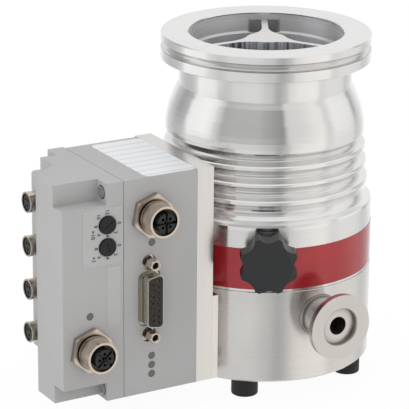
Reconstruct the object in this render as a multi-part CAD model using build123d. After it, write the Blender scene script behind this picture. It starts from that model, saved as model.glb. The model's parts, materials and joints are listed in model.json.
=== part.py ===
from build123d import *
import os
from math import sin, cos, pi, radians, degrees, atan2, sqrt

os.makedirs("parts", exist_ok=True)

# ---------------------------------------------------------------- dimensions
# millimetres; the origin is the centre of the inlet sealing face, +Z leaves the inlet
FL_R, FL_T = 47.5, 11.84          # inlet clamp flange
BORE_R = 35.0                     # inlet bore
NECK_R = 39.2
LOW_R = 49.3                      # lower cylinder of the upper housing
BASE_R = 49.6                     # base housing
Z_NECK, Z_BULGE = -24.0, -45.2    # neck end, bulge end
Z_SHOULDER = -75.8
Z_SEAM = -107.2                   # joint between the housings
Z_BOT = -150.3                    # underside of the base
FOOT_R, FOOT_H = 6.1, 9.6
FEET = [(-26.2, -28.9), (29.0, -28.9), (29.0, 28.9), (-26.2, 28.9)]
Z_FLOOR = Z_BOT - FOOT_H
CH_R = 36.6                       # stator chamber
SPIG_R = 39.0                     # register between the housings
SCREW_PCR = 44.4                  # housing screws
SEAL_R = 40.6                     # housing seal
BAND_T, BAND_Z0, BAND_Z1 = 0.15, -106.0, -87.0
STAR_TOP = -3.3
# vent valve
VENT_ANG, VENT_Z = 240.9, -90.6   # direction of the valve from +X, height
KNOB_R, KNOB_T = 13.15, 9.6
KNOB_FACE = 63.5
# fore-vacuum port
KF_Z, KF_FACE, KF_R, KF_REC_R, KF_HOLE_R = -120.25, 66.9, 15.0, 8.6, 4.2
KF_REC_T, STUB_R = 2.5, 8.9
# electronics
EX0, EX1, SEAM, XL = -47.2, -55.4, -91.9, -121.2
YF, YR = -35.2, 21.7
FLAT_X = EX0 + 0.25               # flats on the housings beside the plate
PAD_X = -44.4                     # back of the mounting flange
ZT, ZB = -47.25, -146.6
WALL = 2.4
DS_X, DS_Z, DS_PITCH = -79.3, -102.5, 33.3
M12 = [(-78.2, -64.4, 19.0), (-108.2, -120.9, 20.0)]      # x, z, turn of the hexagon
M8_Y, M8_X = -3.9, -116.0
M8_Z = [-60.9, -80.9, -100.9, -120.9]
DIAL = [(-99.75, -65.45), (-99.75, -75.5)]
DIAL_R = 3.95
LEDS = [(-78.0, -76.9), (-78.0, -129.5), (-78.0, -133.8), (-78.0, -138.0), (-108.2, -105.8)]

OUT = {}


def put(name, *solids):
    flat = []
    for s in solids:
        flat += list(s.solids()) if hasattr(s, "solids") else [s]
    OUT[name] = flat[0] if len(flat) == 1 else Compound(children=flat)


def cyl(r, z0, z1, x=0, y=0):
    return Pos(x, y, min(z0, z1)) * Cylinder(r, abs(z1 - z0), align=(Align.CENTER, Align.CENTER, Align.MIN))


def tube(ro, ri, z0, z1, x=0, y=0):
    return cyl(ro, z0, z1, x, y) - cyl(ri, z0 - 1 if z0 < z1 else z0 + 1, z1 + 1 if z0 < z1 else z1 - 1, x, y)


def bx(x0, x1, y0, y1, z0, z1):
    return Pos((x0 + x1) / 2, (y0 + y1) / 2, (z0 + z1) / 2) * Box(abs(x1 - x0), abs(y1 - y0), abs(z1 - z0))


def turned(pts):
    """solid of revolution about Z from an (r, z) outline"""
    w = Polyline(*[(p[0], 0, p[1]) for p in pts], close=True)
    return revolve(make_face(w), Axis.Z)


def on(plane, solid):
    return plane * solid


def rod(plane, r, h0, h1):
    """cylinder along a plane's normal, from height h0 to h1"""
    return plane * (Pos(0, 0, min(h0, h1)) * Cylinder(r, abs(h1 - h0), align=(Align.CENTER, Align.CENTER, Align.MIN)))


def pipe(plane, ro, ri, h0, h1):
    return rod(plane, ro, h0, h1) - rod(plane, ri, min(h0, h1) - 1, max(h0, h1) + 1)


def prism(plane, face, h0, h1):
    return plane * (Pos(0, 0, min(h0, h1)) * extrude(face, abs(h1 - h0)))


def front(x, z, y=YF):
    """plane on the front wall, normal towards -Y, local x along +X, local y along +Z"""
    return Plane(origin=(x, y, z), x_dir=(1, 0, 0), z_dir=(0, -1, 0))


def left(y, z, x=M8_X):
    return Plane(origin=(x, y, z), x_dir=(0, -1, 0), z_dir=(-1, 0, 0))


def polar(solid, n, a0=0.0):
    return [Rot(0, 0, a0 + 360.0 * i / n) * solid for i in range(n)]


# ---------------------------------------------------------------- upper housing
def groove(z_hi, r_hi, z_lo, r_lo, depth, n=10):
    """concave groove between two land edges, as outline points going down"""
    pts = []
    for i in range(1, n):
        t = i / n
        pts.append((r_hi + (r_lo - r_hi) * t - depth * sin(pi * t) ** 0.75, z_hi + (z_lo - z_hi) * t))
    return pts


outer = [(BORE_R + 0.4, 0), (FL_R - 0.5, 0), (FL_R, -0.5), (FL_R, -3.5)]
for i in range(1, 8):                                  # clamp groove in the rim
    a = pi * i / 8
    outer.append((FL_R - 2.1 * sin(a), -5.4 + 1.9 * cos(a)))
outer += [(FL_R, -7.3), (FL_R, -FL_T + 0.4), (FL_R - 0.4, -FL_T), (NECK_R + 1.4, -FL_T)]
outer += [(NECK_R + 0.4, -FL_T - 0.4), (NECK_R, -FL_T - 1.4), (NECK_R, -23.2)]
outer += [(39.65, -24.1), (40.55, -25.8), (41.38, -27.8), (42.21, -29.85), (43.33, -32.6), (44.04, -35.1),
          (44.61, -37.7), (45.0, -40.3), (45.2, -42.9), (45.15, -44.6), (44.75, -45.3)]
lands = [(-50.3, -52.5, 45.8), (-58.0, -59.9, 46.5), (-65.75, -68.0, 47.2)]
prev = (44.75, -45.3)
for zh, zl, r in lands:
    outer += groove(prev[1], prev[0], zh, r - 0.45, 2.7)
    outer += [(r - 0.45, zh), (r, zh - 0.45), (r, zl + 0.45), (r - 0.45, zl)]
    prev = (r - 0.45, zl)
outer += groove(prev[1], prev[0], Z_SHOULDER + 0.2, LOW_R - 1.3, 2.6)
outer += [(LOW_R - 1.3, Z_SHOULDER + 0.2), (LOW_R - 0.4, Z_SHOULDER - 0.4), (LOW_R, Z_SHOULDER - 1.4)]
outer += [(LOW_R, Z_SEAM + 0.1), (LOW_R - 0.1, Z_SEAM)]
inner = [(SPIG_R, Z_SEAM), (SPIG_R, Z_SEAM + 4.0), (CH_R, Z_SEAM + 4.0), (CH_R, -13.4), (33.4, -13.4), (33.4, -9.6),
         (34.3, -8.6), (34.6, -2.9), (BORE_R, -2.9), (BORE_R, -0.4)]
upper = turned(outer + inner)
upper -= bx(-80, FLAT_X, -60, 60, -130, ZT + 1.0)      # flat beside the electronics
# recesses in the inlet wall that take the feet of the star, and their side pockets
for a in (60, 180, 300):
    upper -= (Rot(0, 0, a) * bx(30, 35.4, -7.3, 7.3, -2.9, -9.2)) & cyl(BORE_R, -12, 0)
vent_dir = Plane(origin=(0, 0, VENT_Z), x_dir=(cos(radians(VENT_ANG + 90)), sin(radians(VENT_ANG + 90)), 0),
                 z_dir=(cos(radians(VENT_ANG)), sin(radians(VENT_ANG)), 0))
upper -= rod(vent_dir, 3.0, 30, 60)                    # vent channel
upper -= rod(vent_dir, 4.92, 43.4, 60)                  # thread bore of the vent valve
upper -= rod(vent_dir, 8.6, 48.0, 60)                  # spot face for the seal
for s in polar(cyl(1.65, Z_SEAM - 1, Z_SEAM + 14, x=SCREW_PCR), 8, 22.5):
    upper -= s
# the inlet flange and the housing below it touch in one flat ring
put("inlet_flange", upper & bx(-60, 60, -60, 60, 1, -FL_T))
put("upper_housing", upper & bx(-60, 60, -60, 60, -FL_T, -120))

band = tube(LOW_R + BAND_T, LOW_R, BAND_Z0, BAND_Z1)
band -= Rot(0, 0, 180) * bx(0, 60, -21.0, 21.0, -120, -80)   # the film ends either side of the electronics
band -= rod(vent_dir, 9.0, 30, 60)
put("band_film", band)

# ---------------------------------------------------------------- star with the magnet bearing
HUB_R, ARM_W, BLEND = 8.8, 2.9, 16.0
along = sqrt((HUB_R + BLEND) ** 2 - (ARM_W / 2 + BLEND) ** 2)
sk = Circle(HUB_R)
for a in (60, 180, 300):
    sk += Rot(0, 0, a) * (Pos(16.9, 0) * Rectangle(33.8, ARM_W))
    for sgn in (1, -1):                                # web between hub and arm, less the blending circle
        web = make_face(Polyline((0, 0), (along, 0), (along, sgn * (ARM_W / 2 + BLEND)), close=True))
        sk += Rot(0, 0, a) * (web - Pos(along, sgn * (ARM_W / 2 + BLEND)) * Circle(BLEND))
core = extrude(sk, 6.0)
star = Pos(0, 0, STAR_TOP - 6.0) * core
for a in (60, 180, 300):
    foot = Rot(0, 0, a) * bx(30.9, 35.2, -6.2, 6.2, STAR_TOP, -9.15)
    foot &= tube(BORE_R - 0.02, 33.5, -20, 0)
    star += foot
star &= cyl(BORE_R - 0.02, -40, 5)
star += cyl(7.6, STAR_TOP - 5.0, -28.5)                # stem
star -= cyl(5.2, -28.6, -17.5)
star -= Pos(0, 0, STAR_TOP) * Cone(0.05, 1.0, 1.2)      # centre mark
put("bearing_star", star)
put("safety_bearing", tube(5.2, 4.1, -22.5, -18.0), tube(3.1, 2.25, -22.5, -18.0),
    *polar(Pos(3.6, 0, -20.25) * Sphere(0.62), 8))
put("magnet_rings_fixed", *[tube(10.4, 7.62, z, z - 3.2) for z in (-15.0, -18.3, -21.6, -24.9)])
put("magnet_rings_rotor", *[tube(14.8, 11.6, z, z - 3.2) for z in (-15.0, -18.3, -21.6, -24.9)])

# ---------------------------------------------------------------- rotor
rot = turned([(14.8, -13.6), (19.0, -13.6), (19.0, -56.0), (28.4, -56.0), (28.4, -60.0), (19.0, -60.0), (14.0, -64.0),
              (4.02, -64.0), (4.02, -34.0), (10.0, -34.0), (14.8, -29.0)])
STAGES = [(-14.4, -20.4, 18, 40), (-26.6, -31.2, 22, 32), (-37.2, -40.8, 28, 26), (-46.4, -49.4, 32, 20)]
for zt, zb, n, tilt in STAGES:
    h = zt - zb
    th = 1.0
    w = h * sin(radians(tilt)) + h * 0.9
    blade = Pos(25.6, 0, (zt + zb) / 2) * Rot(90 - tilt - 0, 0, 0) * Box(14.6, h * 1.5, th)
    blade &= tube(33.0, 18.4, zt, zb)
    for b in polar(blade, n):
        rot += b
put("bladed_rotor", rot)
put("rotor_shaft", turned([(0, -17.5), (1.6, -17.5), (2.0, -17.9), (2.0, -26.0), (4.0, -27.5), (4.0, -64.0), (7.0, -64.0), (7.0, -90.0),
                           (6.0, -90.0), (6.0, -113.0), (6.8, -113.0), (6.8, -121.0), (5.0, -126.0), (4.0, -126.0),
                           (4.0, -134.0), (3.0, -134.0), (3.0, -139.0), (0, -139.0)]))
put("drag_sleeve", tube(30.4, 28.4, -55.0, -101.0))
put("motor_magnet", tube(9.6, 6.0, -93.0, -111.0))

# ---------------------------------------------------------------- stator stages and spacers
gaps = [(-21.4, -25.6), (-32.2, -36.2), (-41.8, -45.4), (-50.4, -54.0)]
disks = []
for k, (zt, zb) in enumerate(gaps):
    h = zt - zb
    ring = tube(35.4, 33.4, zt, zt - 1.2) + tube(21.2, 20.0, zt, zt - 1.0)
    vane = Pos(27.3, 0, (zt + zb) / 2) * Rot(-60 + 6 * k, 0, 0) * Box(13.2, h * 1.1, 0.8)
    vane &= tube(33.6, 20.6, zt, zb)
    for b in polar(vane, 20, 9):
        ring += b
    cut = bx(-60, 60, -0.15, 0.15, zt + 1, zb - 1)      # each disc is two halves
    disks += list((ring - cut).solids())
put("stator_discs", *disks)
put("spacer_rings", *[tube(36.5, 34.6, a, b) for a, b in ((-15.0, -21.4), (-22.6, -32.2), (-33.4, -41.8), (-43.0, -50.4), (-51.6, -57.0))])
dso = tube(36.5, 31.2, -57.2, -102.8) - tube(40, 35.3, -87.0, -94.4)
for i in range(8):
    dso -= Rot(0, 0, 45 * i) * (Pos(31.4, 0, -80) * Rot(28, 0, 0) * Box(4.4, 4.0, 62.0))
put("drag_stator_outer", dso)
dsi = tube(27.6, 23.4, -66.0, -102.8)
for i in range(6):
    dsi -= Rot(0, 0, 60 * i) * (Pos(27.8, 0, -82) * Rot(-28, 0, 0) * Box(3.6, 4.0, 46.0))
put("drag_stator_inner", dsi)

# ---------------------------------------------------------------- base housing
base = turned([(BASE_R - 0.15, Z_SEAM - 0.05), (BASE_R, Z_SEAM - 0.2), (BASE_R, Z_BOT + 0.9), (BASE_R - 0.9, Z_BOT),
               (19.0, Z_BOT), (19.0, -137.0), (17.0, -137.0), (17.0, -135.5), (12.6, -135.5), (12.6, -125.0), (9.0, -125.0),
               (9.0, -121.5), (20.6, -121.5), (20.6, -90.0), (23.2, -90.0), (23.2, -103.4), (SPIG_R - 2.5, -103.4),
               (SPIG_R - 2.5, Z_SEAM + 2.0), (SPIG_R - 0.05, Z_SEAM + 2.0), (SPIG_R - 0.05, Z_SEAM - 0.05)])
base -= tube(39.2, 26.0, -129.5, -109.5)               # fore-vacuum ring channel
base -= tube(35.2, 30.6, -110.0, -102.0)
base -= tube(SEAL_R + 1.0, SEAL_R - 1.0, Z_SEAM - 1.75, Z_SEAM + 1)     # seal groove
base -= bx(-80, EX0, -60, 60, -160, -100)
# flat mounting face for the electronics
pad = bx(EX0, PAD_X, YF, YR, Z_SEAM - 0.05, ZB) - cyl(48.0, -160, -90)
base += pad
kfp = Plane(origin=(0, 0, KF_Z), x_dir=(1, 0, 0), z_dir=(0, -1, 0))
base -= rod(kfp, 10.0, 47.0, 60)
base -= rod(kfp, 8.05, 42.15, 60)
base -= rod(kfp, KF_HOLE_R, 36, 50)
for x, y in FEET:
    base -= cyl(2.05, Z_BOT - 1, Z_BOT + 9.0, x=x, y=y)
feed = Plane(origin=(0, -8.0, -120.5), x_dir=(0, 1, 0), z_dir=(-1, 0, 0))
base -= rod(feed, 6.5, 15, 60)
base -= rod(feed, 8.2, 44.0, 60)
PS = [(y, z) for y in (-29.5, 9.5) for z in (-113.5, -139.0)]
for y, z in PS:
    base -= rod(Plane(origin=(EX0, y, z), x_dir=(0, 1, 0), z_dir=(1, 0, 0)), 1.7, -1, 4.8)
for s in polar(cyl(1.65, Z_SEAM - 16, Z_SEAM + 1, x=SCREW_PCR), 8, 22.5):
    base -= s
for s in polar(cyl(3.1, Z_SEAM - 60, Z_SEAM - 16, x=SCREW_PCR), 8, 22.5):
    base -= s
put("base_housing", base)
put("housing_seal", Pos(0, 0, Z_SEAM - 0.9) * Torus(SEAL_R, 0.83))
put("housing_screws", *[s for s in polar(cyl(1.6, Z_SEAM - 16.2, Z_SEAM + 11, x=SCREW_PCR) + (cyl(2.75, Z_SEAM - 16, Z_SEAM - 19, x=SCREW_PCR) - cyl(1.25, Z_SEAM - 17.2, Z_SEAM - 20, x=SCREW_PCR)), 8, 22.5)])

# ---------------------------------------------------------------- lower bearing and lubrication
put("bearing_outer_ring", tube(11.0, 9.0, -126.5, -133.5) - Pos(0, 0, -130) * Torus(7.5, 2.05))
put("bearing_inner_ring", tube(6.0, 4.0, -126.5, -133.5) - Pos(0, 0, -130) * Torus(7.5, 2.05))
put("bearing_balls", *polar(Pos(7.5, 0, -130) * Sphere(1.98), 7))
cage = tube(7.95, 7.05, -127.4, -132.6)
for b in polar(Pos(7.5, 0, -130) * Rot(0, 90, 0) * Cylinder(2.04, 4), 7):
    cage -= b
put("bearing_cage", cage)
put("damping_rings", tube(12.5, 11.05, -126.6, -129.0), tube(12.5, 11.05, -131.0, -133.4))
put("splash_nut", turned([(3.05, -134.1), (5.6, -134.1), (5.6, -136.2), (4.2, -142.5), (3.05, -142.5)]))
put("fluid_wick", tube(16.6, 6.2, -136.0, -145.2) - bx(-40, 40, -0.5, 0.5, -150, -130))
cap = cyl(18.9, -145.6, Z_BOT + 0.2) - cyl(3.4, -140, -147.4)
for s in polar(cyl(1.6, Z_BOT - 1, Z_BOT + 2.4, x=13.5), 3):
    cap -= s
cap -= tube(20, 17.6, -146.6, -148.4)
put("reservoir_cap", cap)
put("cap_seal", Pos(0, 0, -147.5) * Torus(18.25, 0.62))

# ---------------------------------------------------------------- motor
mc = tube(18.6, 10.4, -93.5, -110.5)
for i in range(6):
    mc -= Rot(0, 0, 60 * i) * (bx(9.0, 16.0, -2.4, 2.4, -80, -120) - bx(9.0, 11.4, -6, -1.2, -80, -120) - bx(9.0, 11.4, 1.2, 6, -80, -120))
put("motor_core", mc)
put("motor_windings", *polar(bx(12.0, 15.7, -2.1, 2.1, -91.4, -112.6), 6),
    *[tube(18.2, 16.2, a, b) for a, b in ((-90.4, -93.3), (-110.7, -113.6))])
put("feedthrough", rod(feed, 8.1, 44.2, EX0 * -1 - 0.05) + rod(feed, 6.4, 30.0, 44.4),
    *[on(feed, Pos(3.4 * cos(radians(60 * i)), 3.4 * sin(radians(60 * i)), 50.4) * Cylinder(0.5, 6.2)) for i in range(6)])

# ---------------------------------------------------------------- fore-vacuum stub, a small clamp flange
kf = rod(kfp, KF_R, KF_FACE - 2.6, KF_FACE)
cone = Pos(0, 0, 0) * Cone(STUB_R, KF_R, 1.8, align=(Align.CENTER, Align.CENTER, Align.MIN))
kf += kfp * (Pos(0, 0, KF_FACE - 4.4) * cone)
kf += rod(kfp, STUB_R, 47.2, KF_FACE - 3.0) + rod(kfp, 9.9, 47.1, 50.1) + rod(kfp, 8.0, 43.6, 47.3)
kf -= rod(kfp, KF_REC_R, KF_FACE - KF_REC_T, KF_FACE + 1)
kf -= kfp * (Pos(0, 0, KF_FACE - 0.35) * Cone(KF_REC_R, KF_REC_R + 0.4, 0.4, align=(Align.CENTER, Align.CENTER, Align.MIN)))
kf -= rod(kfp, KF_HOLE_R, 40, KF_FACE)
put("fore_vacuum_flange", kf)
put("stub_seal", pipe(kfp, 7.6, 5.6, 42.2, 43.45))

# ---------------------------------------------------------------- vent valve
lob = Circle(KNOB_R)
for i in range(8):                                     # eight shallow finger scallops
    lob -= Pos(17.3 * cos(radians(45 * i + 1)), 17.3 * sin(radians(45 * i + 1))) * Circle(6.2)
lob = fillet(lob.vertices(), 0.7)
knob = prism(vent_dir, lob, KNOB_FACE - KNOB_T, KNOB_FACE)
knob &= vent_dir * (Pos(0, 0, KNOB_FACE - 2.0) * Cone(14.2, 10.3, 2.0, align=(Align.CENTER, Align.CENTER, Align.MIN))) \
    + rod(vent_dir, 14.2, KNOB_FACE - KNOB_T - 1, KNOB_FACE - 1.9)
knob += rod(vent_dir, 6.6, 51.45, KNOB_FACE - KNOB_T + 0.5)
knob -= rod(vent_dir, 3.0, 40, KNOB_FACE - 3.0)
put("vent_knob", knob)
sp = rod(vent_dir, 3.0, 50.6, KNOB_FACE - 3.05) + rod(vent_dir, 4.86, 44.4, 48.9) + rod(vent_dir, 7.6, 49.8, 51.4) + rod(vent_dir, 4.2, 48.5, 50.0)
sp -= rod(vent_dir, 1.1, 44.0, 47.5)
put("vent_spindle", sp)
put("vent_seal", pipe(vent_dir, 7.2, 5.5, 48.05, 49.75))

# ---------------------------------------------------------------- feet
feet, studs = [], []
for x, y in FEET:
    f = cyl(FOOT_R, Z_BOT - 0.02, Z_FLOOR, x, y) - cyl(2.0, Z_BOT - 5.0, Z_BOT + 1, x, y) - cyl(3.2, Z_FLOOR - 1, Z_FLOOR + 2.2, x, y)
    feet.append(fillet(f.edges().filter_by(GeomType.CIRCLE).group_by(Axis.Z)[0].sort_by(SortBy.RADIUS)[-1], 0.7))
    studs.append(cyl(1.98, Z_BOT - 4.9, Z_BOT + 8.0, x, y))
put("rubber_feet", *feet)
put("foot_studs", *studs)

# ---------------------------------------------------------------- electronics: plate and housings
plate = bx(EX0 - 0.03, EX1 + 0.02, YF, YR, ZT, ZB)
plate -= bx(EX1 - 1, EX1 + 3.2, YF + 6, YR - 6, ZT - 6, ZB + 6)
plate -= rod(feed, 7.0, 40, 60)
for y, z in PS:
    plate -= on(Plane(origin=(EX0, y, z), x_dir=(0, 1, 0), z_dir=(-1, 0, 0)), Pos(0, 0, 5) * Cylinder(1.75, 14))
    plate -= on(Plane(origin=(EX1, y, z), x_dir=(0, 1, 0), z_dir=(1, 0, 0)), Pos(0, 0, 2.0) * Cylinder(3.1, 5.4))
put("electronics_plate", plate)
ps = []
for y, z in PS:
    pl = Plane(origin=(EX0, y, z), x_dir=(0, 1, 0), z_dir=(-1, 0, 0))
    ps.append(rod(pl, 1.65, -4.2, 3.8) + (rod(pl, 2.9, 3.5, 6.4) - rod(pl, 1.3, 5.0, 7.0)))
put("plate_screws", *ps)

cov = bx(SEAM + 0.25, EX1 - 0.03, YF, YR, ZT, ZB)
e1 = [e for e in cov.edges() if (abs(e.center().Y - YR) < 0.01 and (abs(e.center().X - SEAM - 0.25) < 0.1 or abs(e.center().Z - ZT) < 0.01))]
cov = fillet(e1, 2.2)
cov -= bx(SEAM + WALL, EX1 + 1, YF + WALL, YR - WALL, ZT - WALL, ZB + WALL)
cov -= bx(SEAM - 1, SEAM + WALL + 1, -14.0, 6.0, -70.0, -124.0)

# corner screws run along X through the fieldbus housing into the cover
CS = [(YF + 4.4, ZT - 4.7), (YF + 4.4, ZB + 4.3), (YR - 4.4, ZT - 4.7), (YR - 4.4, ZB + 4.3)]
for y, z in CS:
    boss = rod(left(y, z, SEAM), 3.6, -0.1, -11.0) & bx(SEAM + 0.05, EX1, YF + 0.5, YR - 0.5, ZT - 0.5, ZB + 0.5)
    cov += boss
    cov -= rod(left(y, z, SEAM), 1.75, 1, -10.2)

NOT_X, NOT_Y, NOT_T, NOT_B, REAR_Y, REAR_X, K_X = -100.1, YF + 8.6, -56.7, -138.1, 12.6, -99.4, -107.5
plan = Polyline((SEAM, YF), (XL, YF), (XL, -10.4), (-111.2, -2.7), (K_X, 0.9), (K_X, REAR_Y), (K_X, YR), (SEAM, YR), close=True)
fb = extrude(make_face(plan), ZT - ZB)
fb = Pos(0, 0, ZB) * fb
ve = [e for e in fb.edges().filter_by(Axis.Z) if abs(e.center().X + 111.2) < 0.1]
fb = fillet(ve, 4.0)
m8b = bx(M8_X, -104.0, -11.0, 3.2, -49.5, -130.2)
fb += m8b
fb -= bx(XL - 1, M8_X, -10.4, 4.0, -49.5, -130.2)
for z0, z1 in ((ZT + 1, NOT_T), (NOT_B, ZB - 1)):
    fb -= bx(XL - 1, NOT_X, YF - 1, NOT_Y, z0, z1)
    fb -= bx(K_X - 1, REAR_X, REAR_Y, YR + 1, z0, z1)
cav = bx(SEAM + 1, -104.4, YF + WALL, YR - 9.6, -58.8, -136.0) + bx(-104, -118.6, NOT_Y + 2.2, -12.6, -58.8, -136.0) \
    + bx(-104, -118.6, YF + WALL, -12.6, -59.5, -135.4) + bx(-104.0, -113.8, -13.0, 1.0, -59.5, -127.5)
cav += bx(SEAM + 1, -97.2, YF + 9.4, YR - 9.6, ZT - WALL, ZB + WALL)
fb -= cav
for y, z in CS:
    fb -= rod(left(y, z, SEAM), 1.85, -2, 20)
    x_face = NOT_X if y < 0 else REAR_X
    fb -= rod(left(y, z, x_face), 3.1, -2.6, 4)

# M12 sockets
shells, inserts, sleeves = [], [], []
for k, (x, z, turn) in enumerate(M12):
    p = front(x, z)
    tgt_bore = rod(p, 7.05, -5, 2)
    if x > SEAM:
        cov -= tgt_bore
    else:
        fb -= tgt_bore
    hexa = prism(p, Rot(0, 0, turn) * RegularPolygon(17.6 / 2 / cos(pi / 6), 6), 0.03, 3.0)
    hexa &= p * (Pos(0, 0, 0.0) * Cone(12.6, 9.3, 3.3, align=(Align.CENTER, Align.CENTER, Align.MIN)))
    hexa -= rod(p, 8.0, 2.4, 4)
    sh = hexa + rod(p, 7.5, 2.0, 4.6) + rod(p, 7.1, 4.0, 12.0) + rod(p, 7.0, -6.0, 1.0)
    sh = sh - rod(p, 6.1, 5.0, 13) - rod(p, 4.5, -7, 6)
    shells.append(sh)
    ins = rod(p, 4.45, -7.5, 13.4) + rod(p, 5.6, -7.5, -6.05)
    spin = 45.0 * k
    holes = [(2.45 * cos(radians(spin + 45 + 90 * i)), 2.45 * sin(radians(spin + 45 + 90 * i))) for i in range(4)] + [(0, 0)]
    for a in (0, 90, 180, 270):                        # cross channel that takes the plug's shroud key
        ins -= p * (Rot(0, 0, spin + a) * Pos(3.0, 0, 12.9) * Box(3.6, 1.0, 1.6))
        if k == 0 or a in (0, 180):
            ins -= p * (Rot(0, 0, spin + a) * Pos(4.1, 0, 11.4) * Box(1.6, 1.3, 5.0))
    ins -= p * (Pos(0, 0, 12.9) * Cylinder(1.25, 1.6))
    for hx, hy in holes:
        ins -= p * (Pos(hx, hy, 10.5) * Cylinder(0.72, 7))
        sleeves.append(p * (Pos(hx, hy, 7.2) * (Cylinder(0.7, 6.0) - Pos(0, 0, 1.0) * Cylinder(0.5, 5.0))))
        ins -= p * (Pos(hx, hy, 7.2) * Cylinder(0.72, 6.0))
    inserts.append(ins)
put("m12_shells", *shells)
put("m12_inserts", *inserts)
put("m12_contacts", *sleeves)

# D-sub socket, long axis vertical
p = front(DS_X, DS_Z)


def dface(w, h, slant, r):
    """D outline, long side w along Z, short side h along X; the wide side faces +X"""
    pts = [(h / 2, w / 2), (h / 2, -w / 2), (-h / 2, -w / 2 + slant), (-h / 2, w / 2 - slant)]
    f = make_face(Polyline(*pts, close=True))
    return fillet(f.vertices(), r)


opening = dface(27.6, 10.6, 1.9, 2.8)
cov -= prism(p, fillet(Rectangle(13.1, 39.8).vertices(), 1.3), -4, -1.0)   # pocket behind the wall for the flange
cov -= prism(p, opening, -4, 1)
for s in (1, -1):
    cov -= p * (Pos(0, s * DS_PITCH / 2, -1) * Cylinder(3.5, 5))
fl = prism(p, fillet(Rectangle(12.5, 39.2).vertices(), 1.2), -2.0, -1.05)
shell = prism(p, dface(25.0, 8.0, 1.35, 2.2), -1.2, 5.75) - prism(p, dface(24.1, 7.1, 1.25, 1.8), -5, 7)
ds = (fl - prism(p, dface(24.1, 7.1, 1.25, 1.8), -5, 7)) + shell
shell2 = prism(p, dface(24.5, 7.5, 1.3, 2.0), 5.7, 6.0) - prism(p, dface(24.1, 7.1, 1.25, 1.8), -5, 7)
ds += shell2
flare = prism(p, dface(26.8, 9.9, 1.8, 2.7), -1.1, -0.3) - prism(p, dface(24.8, 7.8, 1.3, 2.1), -5, 7)
ds += flare
flare = prism(p, dface(25.9, 9.0, 1.6, 2.5), -0.4, 0.4) - prism(p, dface(24.8, 7.8, 1.3, 2.1), -5, 7)
ds += flare
for s in (1, -1):
    ds -= p * (Pos(0, s * DS_PITCH / 2, -3) * Cylinder(1.6, 6))
put("dsub_shell", ds)
dsi_ = prism(p, dface(24.0, 7.0, 1.2, 1.75), -6.5, 5.8)
pins = [(1.42, (i - 3.5) * 2.76) for i in range(8)] + [(-1.42, (i - 3) * 2.76) for i in range(7)]
con = []
for hx, hz in pins:
    dsi_ -= p * (Pos(hx, hz, 3.0) * Cylinder(0.88, 6.0))
    con.append(p * (Pos(hx, hz, 2.65) * (Cylinder(0.86, 4.9) - Pos(0, 0, 0.6) * Cylinder(0.68, 4.8))))
put("dsub_insert", dsi_)
put("dsub_contacts", *con)
jacks = []
for s in (1, -1):
    j = prism(p, Pos(0, s * DS_PITCH / 2) * (Rot(0, 0, 12) * RegularPolygon(4.7 / 2 / cos(pi / 6), 6)), -1.0, 6.2)
    j &= p * (Pos(0, s * DS_PITCH / 2, 4.7) * Cone(3.5, 2.15, 1.6, align=(Align.CENTER, Align.CENTER, Align.MIN))) + rod(Plane(origin=(DS_X, YF, DS_Z + s * DS_PITCH / 2), x_dir=(1, 0, 0), z_dir=(0, -1, 0)), 3.5, -2, 4.8)
    j -= p * (Pos(0, s * DS_PITCH / 2, 5.2) * Cylinder(1.35, 6))
    j -= p * (Pos(0, s * DS_PITCH / 2, 5.7) * Cone(1.35, 1.9, 0.6, align=(Align.CENTER, Align.CENTER, Align.MIN)))
    j += p * (Pos(0, s * DS_PITCH / 2, -3.2) * Cylinder(1.4, 4.6))
    jacks.append(j)
put("dsub_jackscrews", *jacks)

# indicator lights, 3.4 mm lenses just below flush
leds = []
for x, z in LEDS:
    q = front(x, z)
    if x > SEAM:
        cov -= rod(q, 1.75, -5, 1)
    else:
        fb -= rod(q, 1.75, -5, 1)
    leds.append(rod(q, 1.72, -5.5, -0.25) + rod(q, 2.2, -5.5, -2.6))
put("indicator_lights", *leds)

# rotary address switches: body behind the wall, dial in front
bodies = []
for k, (x, z) in enumerate(DIAL):
    q = front(x, z)
    fb -= rod(q, DIAL_R + 0.15, -5, 1)
    bodies.append(prism(q, Rectangle(8.6, 8.6), -7.4, -2.6) - rod(q, 1.05, -6.0, 0))
    d = rod(q, DIAL_R, -1.9, 1.3) + rod(q, 1.0, -5.4, -1.5)
    d = fillet(d.edges().filter_by(GeomType.CIRCLE).sort_by(Axis.Y)[0], 0.4)
    d -= q * (Rot(0, 0, 35 + 70 * k) * Pos(0, 0, 1.3) * Box(4.6, 0.5, 0.5))
    put("address_dial_%d" % (k + 1), d)
put("switch_bodies", *bodies)

# M8 sockets on the left side
m8s, m8i = [], []
for z in M8_Z:
    q = left(M8_Y, z)
    fb -= rod(q, 4.05, -4, 1)
    s = rod(q, 4.65, 0.03, 6.6) + rod(q, 4.0, -3.0, 0.5)
    s = s - rod(q, 3.9, 2.0, 8) - rod(q, 2.9, -4, 3)
    s = s - q * (Pos(0, -4.2, 6.3) * Box(1.0, 1.6, 1.4))
    m8s.append(s)
    i = rod(q, 2.85, -3.6, 6.2) + rod(q, 3.5, 2.05, 6.2)
    for a in (45, 135, 270):
        i -= q * (Pos(1.6 * cos(radians(a)), 1.6 * sin(radians(a)), 5) * Cylinder(0.6, 5))
    i -= q * (Pos(0, -3.3, 5.4) * Box(0.8, 0.8, 4.0))
    m8i.append(i)
put("m8_shells", *m8s)
put("m8_inserts", *m8i)

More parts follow.
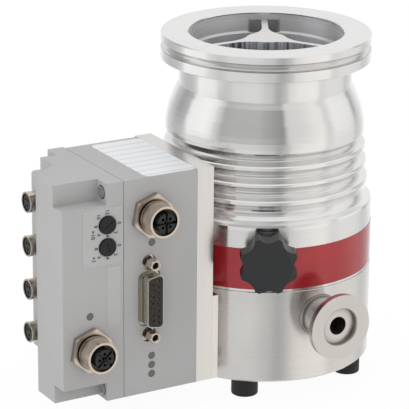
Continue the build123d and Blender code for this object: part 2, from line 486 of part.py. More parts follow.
put("electronics_cover", cov)
put("fieldbus_housing", fb)
gk = bx(SEAM - 0.01, SEAM + 0.04, YF + 0.4, YR - 2.4, ZT - 0.4, ZB + 0.4)
cs = []
for y, z in CS:
    x_face = NOT_X if y < 0 else REAR_X
    q = left(y, z, x_face)
    sx = abs(x_face - SEAM)
    cs.append((rod(q, 2.75, -2.5, 0.4) - q * (Pos(0, 0, 0) * extrude(RegularPolygon(1.45, 6), 3))) + rod(q, 1.7, -2.4, -sx - 9.4))
put("corner_screws", *cs)
put("main_board", bx(-60.2, -61.8, YF + 4.5, YR - 4.5, ZT - 4.5, ZB + 4.5) - bx(-55, -65, YF, YF + 8.6, ZT, ZT - 10) ,
    bx(-64, -72, -10.0, 4.0, -80.0, -96.0), bx(-62.2, -70.0, 6.0, 12.0, -60.0, -72.0), *[Pos(-66.5, -12 + 14 * i, -126) * Rot(0, 90, 0) * Cylinder(5.2, 9) for i in range(2)])
put("fieldbus_board", bx(-100.0, -101.4, -24.5, 8.0, -60.0, -134.0), bx(-97.4, -99.8, -16.0, 0.0, -88.0, -104.0))

# labels and stickers: thin bare films
top = Pos(0, 0, ZT + 0.0) * extrude(Pos(-67.9, -8.4) * RectangleRounded(25.0, 52.4, 2.8), 0.12)
st1 = prism(front(-101.9, -70.6), RectangleRounded(19.2, 25.6, 1.2), 0.0, 0.12)
for x, z in DIAL:
    st1 -= rod(front(x, z), DIAL_R + 0.4, -1, 1)
st2 = prism(front(-96.6, -98.4), RectangleRounded(6.6, 27.4, 0.8), 0.0, 0.12)
put("type_plate", top)
put("front_stickers", st1, st2)

for name, shape in OUT.items():
    shape.label = name
    export_step(shape, "parts/%s.step" % name)
print(len(OUT), "nodes")
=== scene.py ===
import bpy, bmesh, json, math
from mathutils import Vector, Matrix


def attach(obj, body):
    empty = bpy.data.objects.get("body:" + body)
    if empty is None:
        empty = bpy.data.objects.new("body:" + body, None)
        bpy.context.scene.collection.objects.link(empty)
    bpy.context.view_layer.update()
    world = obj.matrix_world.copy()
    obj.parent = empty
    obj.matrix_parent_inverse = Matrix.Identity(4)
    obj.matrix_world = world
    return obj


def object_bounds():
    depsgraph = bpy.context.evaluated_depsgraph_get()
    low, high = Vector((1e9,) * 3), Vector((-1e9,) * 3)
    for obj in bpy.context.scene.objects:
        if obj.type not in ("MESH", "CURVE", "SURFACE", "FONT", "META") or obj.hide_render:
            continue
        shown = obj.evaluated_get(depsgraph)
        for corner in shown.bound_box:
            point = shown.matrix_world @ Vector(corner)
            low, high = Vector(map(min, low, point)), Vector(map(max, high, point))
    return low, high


# Looks for the turbomolecular pump.  Metres, in the CAD frame: origin in the inlet face, +Z up along the rotor.
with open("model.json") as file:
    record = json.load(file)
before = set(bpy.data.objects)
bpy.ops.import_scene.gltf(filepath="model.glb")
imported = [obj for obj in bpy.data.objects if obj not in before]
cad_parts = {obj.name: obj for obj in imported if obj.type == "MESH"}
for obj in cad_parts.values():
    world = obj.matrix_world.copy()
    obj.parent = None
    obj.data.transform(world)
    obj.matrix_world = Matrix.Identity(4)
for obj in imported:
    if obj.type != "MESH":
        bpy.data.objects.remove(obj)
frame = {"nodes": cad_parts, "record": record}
cad_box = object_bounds()
MM = 0.001
nodes = frame["nodes"]
slot_of = {s["node"]: s["material_slot"] for s in frame["record"]["subparts"]}
scene = bpy.context.scene


# ------------------------------------------------------------------ node helpers
class Mat:
    """A node material built step by step: every call adds one node and returns its first output."""

    def __init__(self, name):
        self.mat = bpy.data.materials.new(name)
        self.mat.use_nodes = True
        self.nt = self.mat.node_tree
        self.nt.nodes.clear()
        self.out = self.nt.nodes.new("ShaderNodeOutputMaterial")
        self.bsdf = self.nt.nodes.new("ShaderNodeBsdfPrincipled")
        self.nt.links.new(self.bsdf.outputs[0], self.out.inputs["Surface"])
        self.coord = self.nt.nodes.new("ShaderNodeTexCoord").outputs["Object"]

    def link(self, a, b):
        self.nt.links.new(a, b)

    def put(self, socket, v):
        if isinstance(v, bpy.types.NodeSocket):
            self.nt.links.new(v, socket)
        else:
            if socket.type == "RGBA" and len(v) == 3:
                v = (*v, 1.0)
            socket.default_value = v

    def set(self, **kw):
        for k, v in kw.items():
            self.put(self.bsdf.inputs[k.replace("_", " ")], v)
        return self

    def math(self, op, a, b=0.0, c=0.0, clamp=False):
        n = self.nt.nodes.new("ShaderNodeMath")
        n.operation, n.use_clamp = op, clamp
        for s, v in zip(n.inputs, (a, b, c)):
            self.put(s, v)
        return n.outputs[0]

    def vmath(self, op, a, b=(0, 0, 0), scale=None):
        n = self.nt.nodes.new("ShaderNodeVectorMath")
        n.operation = op
        self.put(n.inputs[0], a)
        self.put(n.inputs[1], b)
        if scale is not None:
            self.put(n.inputs["Scale"], scale)
        return n.outputs["Value"] if op in ("LENGTH", "DOT_PRODUCT") else n.outputs[0]

    def sep(self, v):
        n = self.nt.nodes.new("ShaderNodeSeparateXYZ")
        self.put(n.inputs[0], v)
        return n.outputs[0], n.outputs[1], n.outputs[2]

    def comb(self, x, y, z):
        n = self.nt.nodes.new("ShaderNodeCombineXYZ")
        for s, v in zip(n.inputs, (x, y, z)):
            self.put(s, v)
        return n.outputs[0]

    def noise(self, vec, scale=1.0, detail=2.0, rough=0.5, w=None, dist=0.0):
        n = self.nt.nodes.new("ShaderNodeTexNoise")
        n.noise_dimensions = "4D" if w is not None else "3D"
        self.put(n.inputs["Vector"], vec)
        if w is not None:
            self.put(n.inputs["W"], w)
        n.inputs["Scale"].default_value = scale
        n.inputs["Detail"].default_value = detail
        n.inputs["Roughness"].default_value = rough
        n.inputs["Distortion"].default_value = dist
        return n.outputs["Fac"]

    def voronoi(self, vec, scale=1.0, feature="F1"):
        n = self.nt.nodes.new("ShaderNodeTexVoronoi")
        n.feature = feature
        self.put(n.inputs["Vector"], vec)
        n.inputs["Scale"].default_value = scale
        return n.outputs["Distance"]

    def remap(self, v, a, b, lo, hi):
        n = self.nt.nodes.new("ShaderNodeMapRange")
        n.clamp = True
        self.put(n.inputs["Value"], v)
        n.inputs["From Min"].default_value, n.inputs["From Max"].default_value = a, b
        n.inputs["To Min"].default_value, n.inputs["To Max"].default_value = lo, hi
        return n.outputs[0]

    def mix(self, f, a, b):
        n = self.nt.nodes.new("ShaderNodeMix")
        n.data_type = "RGBA"
        ins = [s for s in n.inputs if s.enabled or s.type == "RGBA"]
        self.put(n.inputs[0], f)
        self.put([s for s in n.inputs if s.type == "RGBA"][0], a)
        self.put([s for s in n.inputs if s.type == "RGBA"][1], b)
        return [o for o in n.outputs if o.type == "RGBA"][0]

    def ramp(self, f, stops, mode="LINEAR"):
        n = self.nt.nodes.new("ShaderNodeValToRGB")
        n.color_ramp.interpolation = mode
        e = n.color_ramp.elements
        while len(e) > 1:
            e.remove(e[-1])
        for i, (p, c) in enumerate(stops):
            el = e[0] if i == 0 else e.new(p)
            el.position = p
            el.color = (*c, 1.0) if len(c) == 3 else c
        self.put(n.inputs[0], f)
        return n.outputs["Color"]

    def bump(self, h, strength, dist, normal=None):
        n = self.nt.nodes.new("ShaderNodeBump")
        n.inputs["Strength"].default_value = strength
        n.inputs["Distance"].default_value = dist
        self.put(n.inputs["Height"], h)
        if normal is not None:
            self.put(n.inputs["Normal"], normal)
        return n.outputs[0]

    def tangent(self, axis="Z"):
        n = self.nt.nodes.new("ShaderNodeTangent")
        n.direction_type = "RADIAL"
        n.axis = axis
        return n.outputs[0]

    def groove_shade(self, dist, lo):
        """Painted shade from ambient occlusion: 1 on open faces, down to lo in the bottom of grooves"""
        n = self.nt.nodes.new("ShaderNodeAmbientOcclusion")
        n.samples, n.only_local = 6, False
        n.inputs["Distance"].default_value = dist * MM
        return self.remap(n.outputs["AO"], 0.35, 0.95, lo, 1.0)

    def edge(self):
        n = self.nt.nodes.new("ShaderNodeNewGeometry")
        return n.outputs["Pointiness"]


def turned(name, colour, rough, aniso=0.55, axis="Z", centre=(0, 0, 0), groove=1.0, grain=1.0, tint=0.04, dirt=0.0, bore_painted_light=None, crevice_shade=None, strip=None):
    """Lathe-turned metal: fine rings round an axis, faint colour bands, and a reflection drawn out across the rings."""
    m = Mat(name)
    p = m.vmath("SCALE", m.vmath("SUBTRACT", m.coord, tuple(c * MM for c in centre)), scale=1000.0)
    x, y, z = m.sep(p)
    if axis == "Y":
        y, z = z, y
    r = m.math("SQRT", m.math("ADD", m.math("MULTIPLY", x, x), m.math("MULTIPLY", y, y)))
    base = m.comb(m.math("MULTIPLY", x, 0.02), m.math("MULTIPLY", y, 0.02), m.math("MULTIPLY", z, 1.0))
    fine = m.noise(m.vmath("SCALE", base, scale=9.0 * grain), 1.0, 3.0, 0.7, w=m.math("MULTIPLY", r, 9.0 * grain))
    broad = m.noise(m.vmath("SCALE", base, scale=0.55), 1.0, 3.0, 0.6, w=m.math("MULTIPLY", r, 0.55))
    blot = m.noise(p, 0.045, 3.0, 0.55)
    v = m.math("ADD", m.math("MULTIPLY", fine, 0.6), m.math("MULTIPLY", broad, 0.4))
    lo = tuple(max(0.0, c * (1 - tint)) for c in colour)
    hi = tuple(min(1.0, c * (1 + tint * 0.6)) for c in colour)
    col = m.ramp(v, [(0.3, lo), (0.5, colour), (0.7, hi)])
    if dirt > 0:
        col = m.mix(m.remap(blot, 0.45, 0.75, 0.0, dirt), col, tuple(c * 0.78 for c in colour))
    ro = m.math("ADD", m.remap(fine, 0.3, 0.7, rough - 0.035, rough + 0.035), m.remap(blot, 0.35, 0.65, -0.02, 0.03))
    if bore_painted_light is not None:                               # (radius, depth, colour, roughness) of the inlet's inside surface: rougher, and its colour painted a little lighter and more neutral than the outside to stand in for light there
        inside = m.math("MULTIPLY", m.math("LESS_THAN", r, bore_painted_light[0]), m.math("LESS_THAN", z, -bore_painted_light[1]))
        col = m.mix(inside, col, bore_painted_light[2])
        ro = m.math("ADD", m.math("MULTIPLY", ro, m.math("SUBTRACT", 1.0, inside)), m.math("MULTIPLY", inside, bore_painted_light[3]))
    if strip is not None:                              # (lower z, upper z, added roughness) of a coarser turned strip
        ro = m.math("ADD", ro, m.math("MULTIPLY", m.math("MULTIPLY", m.math("GREATER_THAN", z, strip[0]), m.math("LESS_THAN", z, strip[1])), strip[2]))
    if crevice_shade is not None:                            # (reach in mm, how dark) of painted shade: the colour is darkened towards black where grooves hide the light
        k = m.groove_shade(*crevice_shade)
        col = m.mix(k, (0, 0, 0), col)
    m.set(Base_Color=col, Metallic=1.0, Roughness=ro, Normal=m.bump(fine, 0.16 * groove, 0.02 * MM))
    m.bsdf.inputs["Anisotropic"].default_value = aniso
    m.bsdf.inputs["Anisotropic Rotation"].default_value = 0.25
    m.link(m.tangent(axis), m.bsdf.inputs["Tangent"])
    return m.mat


def brushed(name, colour, rough, along="Z", tint=0.05, groove=1.0, scale=7.0):
    """Drawn or brushed metal with its grain along one world axis."""
    m = Mat(name)
    p = m.vmath("SCALE", m.coord, scale=1000.0)
    k = {"X": (0.03, 1, 1), "Y": (1, 0.03, 1), "Z": (1, 1, 0.03)}[along]
    q = m.vmath("MULTIPLY", p, k)
    fine = m.noise(m.vmath("SCALE", q, scale=scale), 1.0, 4.0, 0.7)
    broad = m.noise(m.vmath("SCALE", q, scale=0.5), 1.0, 2.0, 0.5)
    v = m.math("ADD", m.math("MULTIPLY", fine, 0.65), m.math("MULTIPLY", broad, 0.35))
    lo = tuple(max(0.0, c * (1 - tint)) for c in colour)
    hi = tuple(min(1.0, c * (1 + tint * 0.6)) for c in colour)
    m.set(Base_Color=m.ramp(v, [(0.3, lo), (0.5, colour), (0.7, hi)]), Metallic=1.0,
          Roughness=m.remap(fine, 0.3, 0.7, rough - 0.05, rough + 0.05), Normal=m.bump(fine, 0.2 * groove, 0.02 * MM))
    m.bsdf.inputs["Anisotropic"].default_value = 0.4
    return m.mat


def star_metal():
    """Milled star: even satin on top; on its sides, dark and bright streaks of painted reflection, fading to plain
    light grey from 19 to 25 mm out.
    """
    m = Mat("star_satin")
    p = m.vmath("SCALE", m.coord, scale=1000.0)
    x, y, z = m.sep(p)
    g = m.nt.nodes.new("ShaderNodeNewGeometry")
    nx, ny, nz = m.sep(g.outputs["Normal"])
    # faces chosen by slope: steep sides take the painted reflection colours, flat tops the satin colour
    painted_side_mask = m.remap(m.math("ABSOLUTE", nz), 0.35, 0.7, 1.0, 0.0)
    reflection_streak = m.noise(m.vmath("MULTIPLY", p, (1, 1, 0.02)), 0.42, 2.0, 0.65, dist=0.2)
    fine = m.noise(p, 1.6, 3.0, 0.6)
    top = m.ramp(fine, [(0.3, (0.80, 0.79, 0.775)), (0.7, (0.84, 0.83, 0.815))])
    # painted reflection: dark blue-grey to near-white streaks on the side walls
    wall_painted_reflection = m.ramp(reflection_streak, [(0.36, (0.14, 0.165, 0.20)), (0.47, (0.45, 0.48, 0.52)), (0.56, (0.80, 0.81, 0.83)), (0.68, (0.95, 0.95, 0.95))])
    r = m.math("SQRT", m.math("ADD", m.math("MULTIPLY", x, x), m.math("MULTIPLY", y, y)))
    wall_painted_reflection = m.mix(m.remap(r, 19.0, 25.0, 0.0, 1.0), wall_painted_reflection, (0.86, 0.855, 0.86))
    m.set(Base_Color=m.mix(painted_side_mask, top, wall_painted_reflection), Metallic=1.0, Roughness=m.remap(fine, 0.3, 0.7, 0.26, 0.34), Normal=m.bump(fine, 0.1, 0.02 * MM))
    return m.mat


def ruled(name, ground, ink):
    """Bare label stock with plain ruled lines and boxes, no lettering."""
    m = Mat(name)
    p = m.vmath("SCALE", m.coord, scale=1000.0)
    x, y, z = m.sep(p)
    n = m.noise(p, 0.6, 3.0)
    u = m.math("FRACT", m.math("DIVIDE", m.math("ADD", y, 200.0), 6.2))
    row = m.math("LESS_THAN", u, 0.055)
    inside = m.math("MULTIPLY", m.math("LESS_THAN", m.math("ABSOLUTE", m.math("ADD", x, 68.0)), 30.0), row)
    m.set(Base_Color=m.mix(inside, m.ramp(n, [(0.3, tuple(c * 0.985 for c in ground)), (0.7, ground)]), ink), Metallic=0.0,
          Roughness=m.remap(n, 0.3, 0.7, 0.3, 0.4), Normal=m.bump(n, 0.05, 0.02 * MM))
    return m.mat


def satin(name, colour, rough, metallic=1.0, tint=0.05, scale=1.2, bump=0.1, wear=0.0, spec=0.5, crevice_shade=None):
    """Plain satin finish with a fine, slightly uneven surface."""
    m = Mat(name)
    p = m.vmath("SCALE", m.coord, scale=1000.0)
    n1 = m.noise(p, scale, 4.0, 0.6)
    n2 = m.noise(p, scale * 8, 2.0, 0.5)
    lo = tuple(max(0.0, c * (1 - tint)) for c in colour)
    hi = tuple(min(1.0, c * (1 + tint)) for c in colour)
    col = m.ramp(n1, [(0.3, lo), (0.5, colour), (0.7, hi)])
    if wear > 0:
        col = m.mix(m.remap(m.edge(), 0.52, 0.6, 0.0, wear), col, tuple(min(1.0, c * 1.35 + 0.05) for c in colour))
    if crevice_shade is not None:
        # painted shade: colour darkened towards black in grooves and recesses
        col = m.mix(m.groove_shade(*crevice_shade), (0, 0, 0), col)
    m.set(Base_Color=col, Metallic=metallic, Roughness=m.remap(n1, 0.3, 0.7, rough - 0.04, rough + 0.04),
          Normal=m.bump(n2, bump, 0.02 * MM))
    m.bsdf.inputs["Specular IOR Level"].default_value = spec
    return m.mat


def moulded(name, colour, rough, pebble=3.0, depth=0.35, tint=0.06, spec=0.5, coat=0.0):
    """Moulded plastic or rubber with a spark-eroded pebble."""
    m = Mat(name)
    p = m.vmath("SCALE", m.coord, scale=1000.0)
    peb = m.voronoi(p, pebble, "SMOOTH_F1")
    cloud = m.noise(p, 0.12, 3.0, 0.55)
    lo = tuple(max(0.0, c * (1 - tint)) for c in colour)
    hi = tuple(min(1.0, c * (1 + tint)) for c in colour)
    m.set(Base_Color=m.ramp(cloud, [(0.3, lo), (0.5, colour), (0.7, hi)]), Metallic=0.0,
          Roughness=m.remap(peb, 0.0, 0.8, rough - 0.05, rough + 0.06), Normal=m.bump(peb, depth, 0.03 * MM))
    m.bsdf.inputs["Specular IOR Level"].default_value = spec
    if coat:
        m.bsdf.inputs["Coat Weight"].default_value = coat
        m.bsdf.inputs["Coat Roughness"].default_value = 0.12
    return m.mat


def paint(name, colour):
    """Fine powder coat: faint orange peel and a slight cloudiness."""
    m = Mat(name)
    p = m.vmath("SCALE", m.coord, scale=1000.0)
    peel = m.noise(p, 2.2, 3.0, 0.55)
    speck = m.noise(p, 11.0, 2.0, 0.6)
    cloud = m.noise(p, 0.02, 3.0, 0.6)
    h = m.math("ADD", m.math("MULTIPLY", peel, 0.6), m.math("MULTIPLY", speck, 0.4))
    v = m.math("ADD", m.math("MULTIPLY", cloud, 0.7), m.math("MULTIPLY", speck, 0.3))
    lo, hi = tuple(c * 0.965 for c in colour), tuple(min(1, c * 1.03) for c in colour)
    m.set(Base_Color=m.ramp(v, [(0.35, lo), (0.5, colour), (0.65, hi)]), Metallic=0.0,
          Roughness=m.remap(peel, 0.3, 0.7, 0.42, 0.5), Normal=m.bump(h, 0.3, 0.012 * MM))
    m.bsdf.inputs["Specular IOR Level"].default_value = 0.45
    return m.mat


def film():
    """Printed red film: gloss over a satin red."""
    m = Mat("red_film")
    p = m.vmath("SCALE", m.coord, scale=1000.0)
    n = m.noise(p, 0.08, 3.0, 0.5)
    ripple = m.noise(m.vmath("MULTIPLY", p, (1, 1, 0.25)), 0.5, 2.0, 0.5)
    m.set(Base_Color=m.ramp(n, [(0.3, (0.36, 0.015, 0.022)), (0.7, (0.43, 0.022, 0.03))]), Metallic=0.35,
          Roughness=m.remap(n, 0.3, 0.7, 0.2, 0.26), Normal=m.bump(ripple, 0.1, 0.05 * MM))
    m.bsdf.inputs["Specular IOR Level"].default_value = 0.5
    m.bsdf.inputs["Coat Weight"].default_value = 0.6
    m.bsdf.inputs["Coat Roughness"].default_value = 0.06
    return m.mat


def weave(name, dark, light, pitch):
    """Wound carbon fibre: crossing tows under resin."""
    m = Mat(name)
    p = m.vmath("SCALE", m.coord, scale=1000.0)
    x, y, z = m.sep(p)
    ang = m.math("MULTIPLY", m.math("ARCTAN2", y, x), 27.0)
    a = m.math("SINE", m.math("ADD", m.math("MULTIPLY", z, pitch), ang))
    b = m.math("SINE", m.math("SUBTRACT", m.math("MULTIPLY", z, pitch), ang))
    h = m.math("MAXIMUM", a, b)
    m.set(Base_Color=m.ramp(m.remap(h, -1, 1, 0, 1), [(0.0, dark), (1.0, light)]), Metallic=0.0,
          Roughness=m.remap(m.noise(p, 1.5), 0.3, 0.7, 0.25, 0.38), Normal=m.bump(h, 0.25, 0.04 * MM))
    m.bsdf.inputs["Coat Weight"].default_value = 0.5
    m.bsdf.inputs["Coat Roughness"].default_value = 0.1
    return m.mat


def windings():
    m = Mat("copper")
    p = m.vmath("SCALE", m.coord, scale=1000.0)
    x, y, z = m.sep(p)
    r = m.math("SQRT", m.math("ADD", m.math("MULTIPLY", x, x), m.math("MULTIPLY", y, y)))
    h = m.math("MULTIPLY", m.math("SINE", m.math("MULTIPLY", r, 12.0)), m.math("SINE", m.math("MULTIPLY", z, 12.0)))
    n = m.noise(p, 0.6, 3.0)
    m.set(Base_Color=m.ramp(n, [(0.3, (0.52, 0.17, 0.07)), (0.7, (0.72, 0.27, 0.12))]), Metallic=0.9,
          Roughness=m.remap(n, 0.3, 0.7, 0.22, 0.34), Normal=m.bump(h, 0.5, 0.1 * MM))
    return m.mat


def board():
    m = Mat("circuit_board")
    p = m.vmath("SCALE", m.coord, scale=1000.0)
    x, y, z = m.sep(p)
    lines = m.math("MAXIMUM", m.math("SINE", m.math("MULTIPLY", z, 2.4)), m.math("SINE", m.math("MULTIPLY", y, 2.1)))
    cell = m.noise(p, 0.12, 1.0)
    f = m.remap(m.math("MULTIPLY", lines, m.remap(cell, 0.45, 0.55, 0.0, 1.0)), 0.9, 0.97, 0.0, 1.0)
    m.set(Base_Color=m.mix(f, (0.012, 0.09, 0.035), (0.03, 0.2, 0.08)), Metallic=0.0,
          Roughness=m.remap(cell, 0.3, 0.7, 0.3, 0.42), Normal=m.bump(f, 0.3, 0.03 * MM))
    return m.mat


def laminations():
    m = Mat("lamination")
    p = m.vmath("SCALE", m.coord, scale=1000.0)
    x, y, z = m.sep(p)
    h = m.math("SINE", m.math("MULTIPLY", z, 2 * math.pi / 0.35))
    n = m.noise(p, 0.4, 3.0)
    m.set(Base_Color=m.ramp(n, [(0.3, (0.16, 0.16, 0.17)), (0.7, (0.24, 0.24, 0.25))]), Metallic=0.8,
          Roughness=m.remap(n, 0.3, 0.7, 0.4, 0.5), Normal=m.bump(h, 0.5, 0.05 * MM))
    return m.mat


def felted():
    m = Mat("felt")
    p = m.vmath("SCALE", m.coord, scale=1000.0)
    n = m.noise(p, 2.5, 6.0, 0.75, dist=1.2)
    m.set(Base_Color=m.ramp(n, [(0.3, (0.62, 0.58, 0.5)), (0.7, (0.8, 0.77, 0.7))]), Metallic=0.0,
          Roughness=m.remap(n, 0.3, 0.7, 0.85, 0.95), Normal=m.bump(n, 0.8, 0.2 * MM))
    m.bsdf.inputs["Sheen Weight"].default_value = 0.3
    return m.mat


def lens():
    m = Mat("light_lens")
    p = m.vmath("SCALE", m.coord, scale=1000.0)
    n = m.noise(p, 1.5, 2.0)
    m.set(Base_Color=m.ramp(n, [(0.3, (0.085, 0.09, 0.085)), (0.7, (0.11, 0.115, 0.11))]), Metallic=0.0,
          Roughness=m.remap(n, 0.3, 0.7, 0.16, 0.24), Normal=m.bump(n, 0.1, 0.02 * MM))
    m.bsdf.inputs["Coat Weight"].default_value = 0.5
    m.bsdf.inputs["Coat Roughness"].default_value = 0.08
    return m.mat


MATS = {
    # turned aluminium: inside of the inlet painted lighter as painted light, and painted shade in its grooves
    "turned_aluminium": turned("turned_aluminium", (0.90, 0.893, 0.885), 0.15, aniso=0.8, groove=0.4, dirt=0.1,
                               bore_painted_light=(35.9, 0.9, (0.92, 0.915, 0.92), 0.5), crevice_shade=(4.0, 0.6),
                               strip=(-87.1, -78.8, 0.11)),
    "brushed_aluminium": turned("brushed_aluminium", (0.82, 0.80, 0.775), 0.24, aniso=0.5, grain=0.8, groove=1.3, tint=0.06, dirt=0.12),
    "machined_aluminium": turned("machined_aluminium", (0.86, 0.85, 0.84), 0.27, aniso=0.4, dirt=0.1),
    "rotor_aluminium": satin("rotor_aluminium", (0.26, 0.285, 0.315), 0.34, tint=0.07, scale=0.5),
    "plate_aluminium": brushed("plate_aluminium", (0.76, 0.742, 0.72), 0.19, along="Z", groove=0.35),
    "red_film": film(),
    "bearing_steel": satin("bearing_steel", (0.62, 0.62, 0.63), 0.2, tint=0.03),
    "stainless": satin("stainless", (0.58, 0.555, 0.53), 0.22, tint=0.04),
    "ceramic_ball": moulded("ceramic_ball", (0.05, 0.05, 0.055), 0.12, pebble=6.0, depth=0.05, coat=0.5),
    "cage_plastic": moulded("cage_plastic", (0.55, 0.42, 0.25), 0.45),
    "magnet": satin("magnet", (0.33, 0.33, 0.34), 0.38, tint=0.08, scale=0.8),
    "carbon_fibre": weave("carbon_fibre", (0.01, 0.01, 0.011), (0.05, 0.05, 0.055), 1.6),
    "black_rubber": moulded("black_rubber", (0.018, 0.018, 0.019), 0.5, pebble=2.5, depth=0.3, spec=0.35),
    "felt": felted(),
    "lamination": laminations(),
    "copper": windings(),
    "black_plastic": moulded("black_plastic", (0.02, 0.02, 0.021), 0.42),
    "knob_plastic": moulded("knob_plastic", (0.021, 0.022, 0.023), 0.33, pebble=3.5, depth=0.15, spec=0.42),
    "painted_box": paint("painted_box", (0.40, 0.395, 0.388)),
    # nickel: painted shade in its grooves and recesses
    "nickel": satin("nickel", (0.69, 0.60, 0.515), 0.18, tint=0.02, scale=0.5, bump=0.04, crevice_shade=(3.0, 0.3)),
    "tin_shell": satin("tin_shell", (0.52, 0.50, 0.43), 0.24, tint=0.05, scale=0.8),
    "socket_plastic": moulded("socket_plastic", (0.016, 0.017, 0.018), 0.34, pebble=5.0, depth=0.12, spec=0.35),
    "gold": satin("gold", (0.93, 0.80, 0.62), 0.34, tint=0.04),
    "light_lens": lens(),
    "dial_plastic": moulded("dial_plastic", (0.013, 0.0135, 0.0145), 0.4, pebble=5.0, depth=0.1, spec=0.3),
    "circuit_board": board(),
    "label_white": ruled("label_white", (0.74, 0.745, 0.75), (0.28, 0.285, 0.30)),
    "sticker_grey": moulded("sticker_grey", (0.425, 0.421, 0.413), 0.42, pebble=6.0, depth=0.05, tint=0.02),
}


def dress(obj, mat):
    obj.data.materials.clear()
    obj.data.materials.append(mat)


for name, obj in nodes.items():
    dress(obj, MATS[slot_of[name]])
own = {
    # fore-vacuum flange: painted shade in its recess and grooves
    "fore_vacuum_flange": turned("flange_satin", (0.70, 0.67, 0.65), 0.3, aniso=0.2, axis="Y", centre=(0, 0, -120.25), dirt=0.1, crevice_shade=(3.0, 0.35)),
    "bearing_star": star_metal(),
}
for name, mat in own.items():
    dress(nodes[name], mat)

# ------------------------------------------------------------------ plain numbers round the rotary dials
FACE_Y = -35.2 * MM


def numeral(name, text, x, z, size, turn):
    cu = bpy.data.curves.new(name, "FONT")
    cu.body, cu.size = text, size * MM
    cu.align_x, cu.align_y = "CENTER", "CENTER"
    cu.extrude = 0.012 * MM
    cu.offset = 0.05 * MM
    tmp = bpy.data.objects.new(name + "_curve", cu)
    scene.collection.objects.link(tmp)
    bpy.context.view_layer.update()
    me = bpy.data.meshes.new_from_object(tmp.evaluated_get(bpy.context.evaluated_depsgraph_get()))
    bpy.data.objects.remove(tmp)
    me.transform(Matrix.Translation((x * MM, FACE_Y - 0.135 * MM, z * MM)) @ Matrix.Rotation(math.radians(90), 4, "X")
                 @ Matrix.Rotation(math.radians(turn), 4, "Z"))
    me.name = name
    ob = bpy.data.objects.new(name, me)
    scene.collection.objects.link(ob)
    dress(ob, INK)
    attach(ob, "pump")
    return ob


INK = moulded("numeral_ink", (0.022, 0.022, 0.023), 0.5, pebble=6.0, depth=0.03)
DIALS = [((-99.75, -65.45), {90: "12", 135: "10", 180: "8", 225: "6", 270: "4", 315: "2", 0: "0"}),
         ((-99.75, -75.5), {135: "10", 180: "8", 225: "6", 270: "4", 315: "2", 0: "0"})]
for k, ((dx, dz), marks) in enumerate(DIALS):
    for a, t in marks.items():
        if k == 1 and a == 135:
            continue
        rr = {90: 5.75, 135: 6.0, 180: 5.5, 270: 5.0}.get(a, 5.7)
        numeral("dial%d_number_%s" % (k + 1, t), t, dx + rr * math.cos(math.radians(a)), dz + rr * math.sin(math.radians(a)), 2.3, -90)
numeral("dial1_factor", "\u00d710", -106.7, -69.0, 2.6, -90)
numeral("dial2_factor", "\u00d71", -106.4, -80.1, 2.6, -90)

# ------------------------------------------------------------------ camera
AZ, EL, ROLL = math.radians(-30.309), math.radians(18.377), math.radians(0.543)
back = Vector((math.sin(AZ) * math.cos(EL), -math.cos(AZ) * math.cos(EL), math.sin(EL)))
right = Vector((math.cos(AZ), math.sin(AZ), 0.0))
up = back.cross(right)
r2 = right * math.cos(ROLL) + up * math.sin(ROLL)
u2 = up * math.cos(ROLL) - right * math.sin(ROLL)
target = (r2 * -27.015 + Vector((0, 0, -82.482))) * MM
cam_data = bpy.data.cameras.new("camera")
cam_data.sensor_width = 36.0
cam_data.lens = 2370.165 / 409 * 36.0
cam_data.clip_start, cam_data.clip_end = 0.05, 50
cam = bpy.data.objects.new("camera", cam_data)
scene.collection.objects.link(cam)
m = Matrix((r2, u2, back)).transposed().to_4x4()
m.translation = target + back * 1090.41 * MM
cam.matrix_world = m
scene.camera = cam

# ------------------------------------------------------------------ studio
scene.view_settings.view_transform = "Standard"
scene.view_settings.look = "None"


def lin(v):
    v = v / 255.0
    return v / 12.92 if v <= 0.04045 else ((v + 0.055) / 1.055) ** 2.4


world = bpy.data.worlds.new("studio")
world.use_nodes = True
scene.world = world
wt = world.node_tree
wt.nodes.clear()


def wn(kind, **kw):
    n = wt.nodes.new(kind)
    for k, v in kw.items():
        setattr(n, k, v)
    return n


def wmath(op, a, b=0.0, clamp=False):
    n = wn("ShaderNodeMath", operation=op, use_clamp=clamp)
    for s, v in zip(n.inputs, (a, b)):
        if isinstance(v, bpy.types.NodeSocket):
            wt.links.new(v, s)
        else:
            s.default_value = v
    return n.outputs[0]


def wmix(f, a, b):
    n = wn("ShaderNodeMix", data_type="RGBA")
    cols = [s for s in n.inputs if s.type == "RGBA"]
    for s, v in ((n.inputs[0], f), (cols[0], a), (cols[1], b)):
        if isinstance(v, bpy.types.NodeSocket):
            wt.links.new(v, s)
        else:
            s.default_value = v
    return [o for o in n.outputs if o.type == "RGBA"][0]


wc = wn("ShaderNodeTexCoord")
ws = wn("ShaderNodeSeparateXYZ")
wt.links.new(wc.outputs["Generated"], ws.inputs[0])
wx, wy, wz = ws.outputs
azi = wmath("FRACT", wmath("DIVIDE", wmath("ADD", wmath("ARCTAN2", wy, wx), 4 * math.pi), 2 * math.pi))
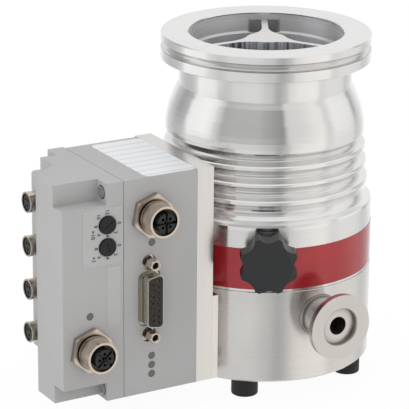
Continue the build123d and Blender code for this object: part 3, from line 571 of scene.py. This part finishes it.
# soft boxes and flags round the set, by compass angle in degrees: (angle, grey level out of 255, warmth)
LOW = [(0, 213, 0), (8, 196, 0), (20, 205, 0), (30, 222, 0), (45, 240, 0), (60, 238, 0), (80, 225, 0), (95, 200, -1), (110, 184, -1),
       (124, 186, -1), (133, 200, 0), (141, 236, 0), (166, 234, 0), (178, 208, 0), (188, 197, 0), (200, 210, 0), (226, 213, 0),
       (245, 196, 0), (256, 168, 0), (264, 184, 0), (273, 216, 1), (286, 228, 2), (308, 232, 2), (318, 210, 0), (330, 218, 1), (350, 216, 1)]
HIGH = [(0, 222, 0), (9, 168, 0), (19, 209, 0), (29, 232, 0), (39, 228, 0), (60, 226, 0), (85, 226, -1), (99, 186, -1), (115, 160, -1),
        (129, 172, 0), (137, 236, 0), (162, 240, 0), (171, 230, 0), (179, 200, 0), (187, 166, 0), (200, 172, 0), (229, 172, 0),
        (242, 160, 0), (252, 150, 0), (260, 140, 0), (267, 205, 1), (279, 208, 1), (309, 228, 2), (319, 206, 0), (329, 230, 1), (348, 228, 0)]
UNDER = [(0, 205, 0), (60, 215, 0), (120, 170, 0), (180, 162, 0), (250, 160, 0), (290, 178, 0), (320, 200, 0)]


def band(stops):
    rn = wn("ShaderNodeValToRGB")
    rn.color_ramp.interpolation = "EASE"
    els = rn.color_ramp.elements
    while len(els) > 1:
        els.remove(els[-1])
    for i, (a, g, w) in enumerate(stops + [(359.9, stops[0][1], 0)]):
        e = els[0] if i == 0 else els.new(a / 360.0)
        e.position = a / 360.0
        v = lin(g) / 0.88
        e.color = (v * (1 + 0.012 * w), v, v * (1 - 0.02 * w), 1.0)
    wt.links.new(azi, rn.inputs[0])
    return rn.outputs["Color"]


def between(lo, hi):
    n = wn("ShaderNodeMapRange", clamp=True, interpolation_type="SMOOTHSTEP")
    wt.links.new(wz, n.inputs["Value"])
    n.inputs["From Min"].default_value, n.inputs["From Max"].default_value = lo, hi
    return n.outputs[0]


glossy = wmix(between(-0.2, 0.05), band(LOW), band(HIGH))
glossy = wmix(between(0.5, 0.85), glossy, (0.86, 0.865, 0.87, 1))
glossy = wmix(between(-0.5, -0.75), glossy, band(UNDER))
# soft overall light: brighter from above and from the left
AMB, AX, AY, AZ_ = 0.90, -0.32, 0.12, 0.54
dif = wmath("ADD", wmath("ADD", wmath("MULTIPLY", wx, AX), wmath("MULTIPLY", wy, AY)), wmath("ADD", wmath("MULTIPLY", wz, AZ_), AMB))
dc = wn("ShaderNodeCombineColor")
for s, k in zip(dc.inputs[:3], (-0.012, 0.0, 0.035)):     # a little bluer from above
    wt.links.new(wmath("ADD", dif, wmath("MULTIPLY", wz, k)), s)
lp = wn("ShaderNodeLightPath")
both = wmix(lp.outputs["Is Diffuse Ray"], glossy, dc.outputs[0])
final = wmix(lp.outputs["Is Camera Ray"], both, (1.0, 1.0, 1.0, 1))
bg = wn("ShaderNodeBackground")
wt.links.new(final, bg.inputs["Color"])
wo = wn("ShaderNodeOutputWorld")
wt.links.new(bg.outputs[0], wo.inputs["Surface"])

# pale floor under the feet
FLOOR_Z = cad_box[0].z
bm = bmesh.new()
bmesh.ops.create_grid(bm, x_segments=8, y_segments=8, size=3.0)
me = bpy.data.meshes.new("floor")
bm.to_mesh(me)
bm.free()
floor = bpy.data.objects.new("floor", me)
floor.location.z = FLOOR_Z - 0.0001
scene.collection.objects.link(floor)
fm = bpy.data.materials.new("floor")
fm.use_nodes = True
ft = fm.node_tree
ft.nodes.clear()
fo = ft.nodes.new("ShaderNodeOutputMaterial")
fd = ft.nodes.new("ShaderNodeBsdfDiffuse")
fd.inputs["Color"].default_value = (0.93, 0.93, 0.93, 1)
fe = ft.nodes.new("ShaderNodeEmission")
fe.inputs["Color"].default_value = (1, 1, 1, 1)
fx = ft.nodes.new("ShaderNodeMixShader")
fp = ft.nodes.new("ShaderNodeLightPath")
fmul = ft.nodes.new("ShaderNodeMath")
fmul.operation = "MULTIPLY"
ft.links.new(fp.outputs["Is Camera Ray"], fmul.inputs[0])
fmul.inputs[1].default_value = 0.95
ft.links.new(fmul.outputs[0], fx.inputs[0])
ft.links.new(fd.outputs[0], fx.inputs[1])
ft.links.new(fe.outputs[0], fx.inputs[2])
ft.links.new(fx.outputs[0], fo.inputs["Surface"])
floor.data.materials.append(fm)
floor.visible_glossy = False
